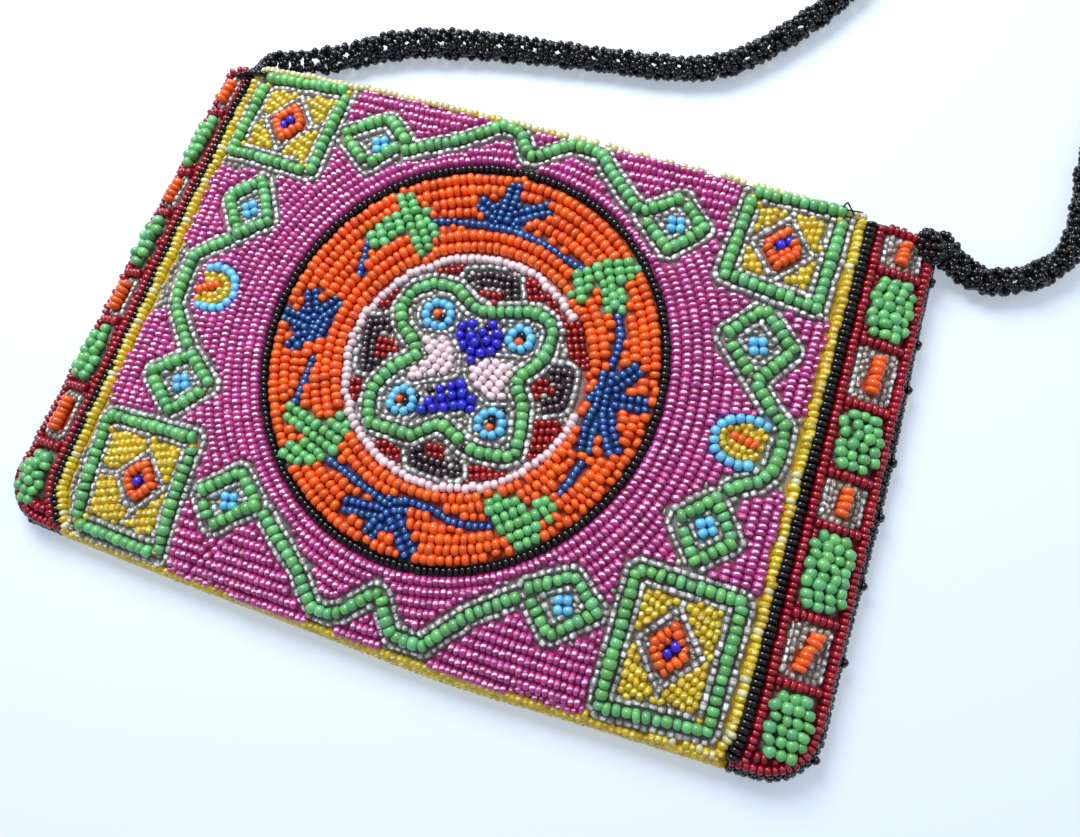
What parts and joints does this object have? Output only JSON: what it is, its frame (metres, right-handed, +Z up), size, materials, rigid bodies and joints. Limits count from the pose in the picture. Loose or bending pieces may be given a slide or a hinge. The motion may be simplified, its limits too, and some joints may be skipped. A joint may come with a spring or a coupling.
{
  "type": "beaded purse",
  "caption": "Flat soft purse with a domed beaded front panel, beaded side bands, whipped bead edging, an open top and a beaded rope strap, for carrying small things.",
  "frame": {"origin": "on the surface that the purse lies on, under the middle of the pouch, on the flat outer face of its back", "axes": "+X to the pouch's right as its front is seen, +Y towards its mouth and strap, +Z up out of its front"},
  "size_m": [0.2525, 0.3437, 0.0136],
  "materials": {
    "magenta_beads": "close rows of clear magenta glass seed beads on cloth",
    "red_beads": "close rows of dark red glass seed beads on cloth",
    "black_beads": "glossy black glass seed beads",
    "yellow_beads": "clear yellow glass seed beads",
    "back_cloth": "plain woven black cloth"
  },
  "bodies": {
    "root": {"front_panel": "magenta_beads", "left_band": "red_beads", "right_band": "red_beads", "back_panel": "back_cloth", "left_edging": "black_beads", "right_edging": "black_beads", "bottom_edging": "yellow_beads", "strap": "black_beads"}
  },
  "joints": []
}
